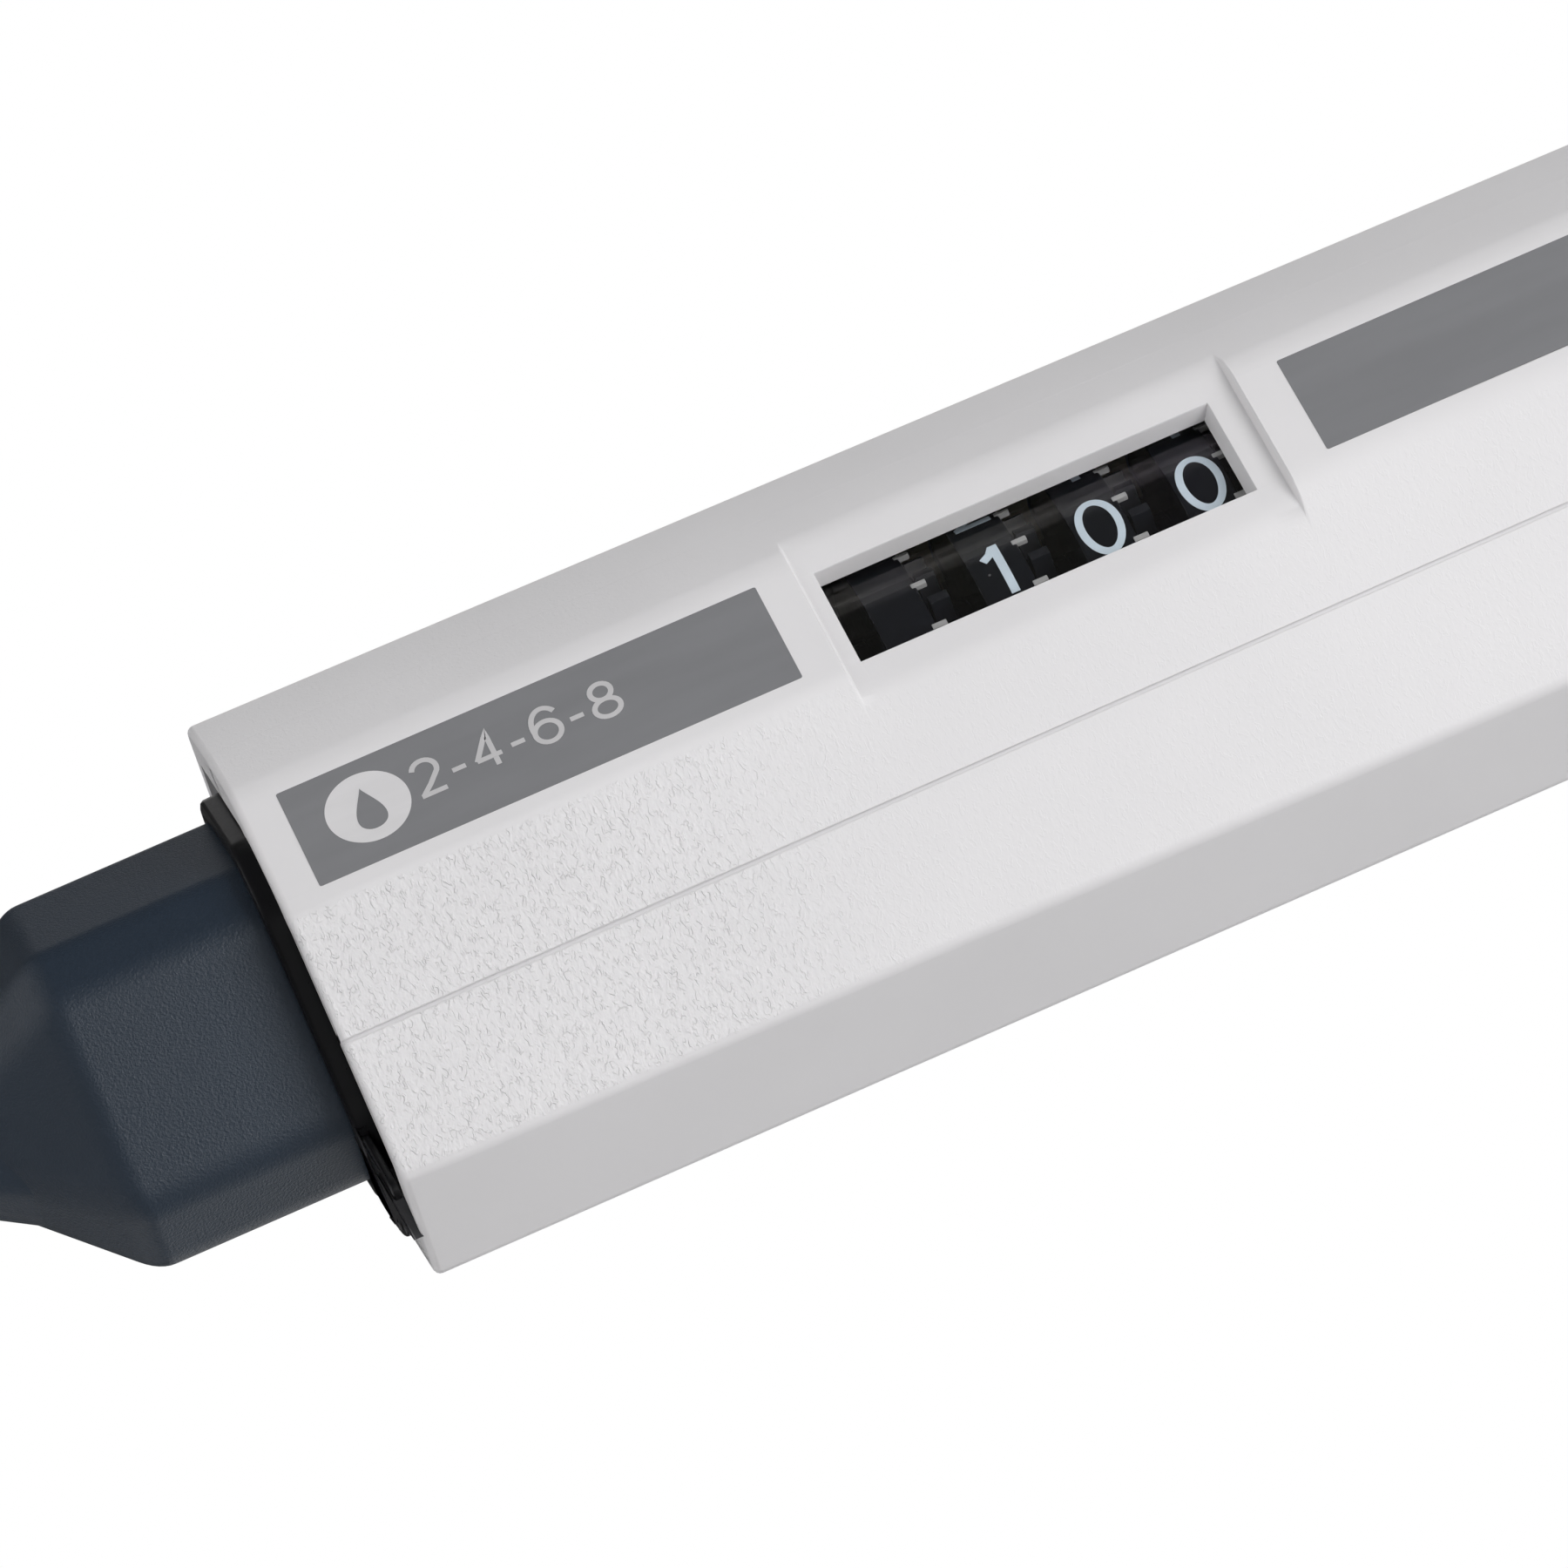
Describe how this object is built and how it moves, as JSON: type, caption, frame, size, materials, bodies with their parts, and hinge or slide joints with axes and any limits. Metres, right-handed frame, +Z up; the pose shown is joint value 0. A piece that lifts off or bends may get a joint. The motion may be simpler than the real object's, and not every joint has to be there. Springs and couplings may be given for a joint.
{
  "type": "multichannel pipette",
  "caption": "Hand-held pipette with a faceted grip, volume counter window, thumb button, finger hook and a swivelling head with a row of nozzles.",
  "frame": {"origin": "on the handle's axis, half way up the grip", "axes": "+Z up the handle to the push button, -Y is the front with the volume window, the channels lie in a row along X"},
  "size_m": [0.0856, 0.0496, 0.272],
  "materials": {
    "shell": "light grey moulded plastic, fine texture on the grip",
    "navy": "dark blue moulded plastic, fine grain",
    "black": "black moulded plastic",
    "lens": "clear moulded lens",
    "resin": "natural moulded resin",
    "brass": "turned",
    "steel": "ground stainless steel",
    "rubber": "moulded seal"
  },
  "bodies": {
    "handle": {"front_cover": "shell", "rear_housing": "shell", "window_lens": "lens", "rim_plate": "black", "spring_cup": "resin", "nose_tube": "steel", "counter_frame": "black", "pinion_axle": "steel", "blank_wheel": "black", "blank_pinion": "resin", "top_cap": "shell", "calibration_ring": "navy", "finger_hook": "shell", "hook_screw": "steel", "ejector_bush": "brass", "thrust_washer": "brass", "head_clip": "steel", "main_spring": "steel", "blowout_spring": "steel", "ejector_spring": "steel"},
    "blowout_stop": {"blowout_washer": "steel"},
    "drive": {"drive_tube": "brass", "units_wheel": "black"},
    "tens": {"tens_wheel": "black"},
    "hundreds": {"hundreds_wheel": "black"},
    "units_carry": {"units_pinion": "resin"},
    "tens_carry": {"tens_pinion": "resin"},
    "nut": {"volume_nut": "resin"},
    "plunger": {"plunger_rod": "steel", "spring_collar": "brass"},
    "button": {"push_button": "navy", "button_disc": "shell", "button_stem": "steel"},
    "ejector": {"ejector_collar": "navy", "ejector_rod": "steel", "rod_clip": "steel", "ejector_button": "navy"},
    "head": {"swivel_collar": "navy", "head_shell_front": "shell", "head_shell_back": "shell", "shell_screws": "steel", "cylinder_block": "black", "seal_retainer": "steel", "piston_seals": "rubber", "guide_posts": "steel", "carriage_springs": "steel", "nozzle_1": "resin", "nozzle_2": "resin", "nozzle_3": "resin", "nozzle_4": "resin", "nozzle_5": "resin", "nozzle_6": "resin", "nozzle_7": "resin", "nozzle_8": "resin"},
    "carriage": {"piston_crossbar": "steel", "rod_socket": "brass", "pistons": "steel"},
    "tip_ejector": {"ejector_yoke": "steel", "ejector_comb": "navy"}
  },
  "joints": [
    {"name": "plunger_press", "type": "slide", "parent": "handle", "child": "plunger", "axis": [0, 0, -1], "range_m": [0, 0.015], "stiffness_N_per_m": 300, "springref_m": -0.005, "deforming": ["main_spring"]},
    {"name": "volume_turn", "type": "hinge", "parent": "plunger", "child": "button", "pos_m": [0, 0, 0], "axis": [0, 0, 1], "range_deg": [-3240, 0]},
    {"name": "blowout_slide", "type": "slide", "parent": "handle", "child": "blowout_stop", "axis": [0, 0, -1], "range_m": [0, 0.0025], "deforming": ["blowout_spring"]},
    {"name": "drive_turn", "type": "hinge", "parent": "handle", "child": "drive", "pos_m": [0, 0, 0], "axis": [0, 0, 1], "range_deg": [-3240, 0]},
    {"name": "tens_turn", "type": "hinge", "parent": "handle", "child": "tens", "pos_m": [0, 0, 0], "axis": [0, 0, 1], "range_deg": [-324, 0]},
    {"name": "hundreds_turn", "type": "hinge", "parent": "handle", "child": "hundreds", "pos_m": [0, 0, 0], "axis": [0, 0, 1], "range_deg": [-32.4, 0]},
    {"name": "units_carry_turn", "type": "hinge", "parent": "handle", "child": "units_carry", "pos_m": [-0.01092, 0, -0.006], "axis": [0, 0, 1], "range_deg": [0, 810]},
    {"name": "tens_carry_turn", "type": "hinge", "parent": "handle", "child": "tens_carry", "pos_m": [-0.01092, 0, -0.012], "axis": [0, 0, 1], "range_deg": [0, 81]},
    {"name": "nut_slide", "type": "slide", "parent": "handle", "child": "nut", "axis": [0, 0, -1], "range_m": [0, 0.01126]},
    {"name": "ejector_press", "type": "slide", "parent": "handle", "child": "ejector", "axis": [0, 0, -1], "range_m": [0, 0.008], "stiffness_N_per_m": 400, "springref_m": -0.004, "deforming": ["ejector_spring"]},
    {"name": "head_swivel", "type": "hinge", "parent": "handle", "child": "head", "pos_m": [0, 0, -0.096], "axis": [0, 0, 1], "continuous": true},
    {"name": "carriage_slide", "type": "slide", "parent": "head", "child": "carriage", "axis": [0, 0, -1], "range_m": [0, 0.015], "deforming": ["carriage_springs"]},
    {"name": "tip_ejector_slide", "type": "slide", "parent": "head", "child": "tip_ejector", "axis": [0, 0, -1], "range_m": [0, 0.008]}
  ],
  "couplings": [
    {"joint": "blowout_slide", "follows": "plunger_press", "ratio": 0.16667},
    {"joint": "drive_turn", "follows": "volume_turn", "ratio": 1},
    {"joint": "tens_turn", "follows": "volume_turn", "ratio": 0.1},
    {"joint": "hundreds_turn", "follows": "volume_turn", "ratio": 0.01},
    {"joint": "units_carry_turn", "follows": "volume_turn", "ratio": -0.25},
    {"joint": "tens_carry_turn", "follows": "volume_turn", "ratio": -0.025},
    {"joint": "nut_slide", "follows": "volume_turn", "m_per_rad": -0.00019894},
    {"joint": "carriage_slide", "follows": "plunger_press", "ratio": 1},
    {"joint": "tip_ejector_slide", "follows": "ejector_press", "ratio": 1}
  ]
}
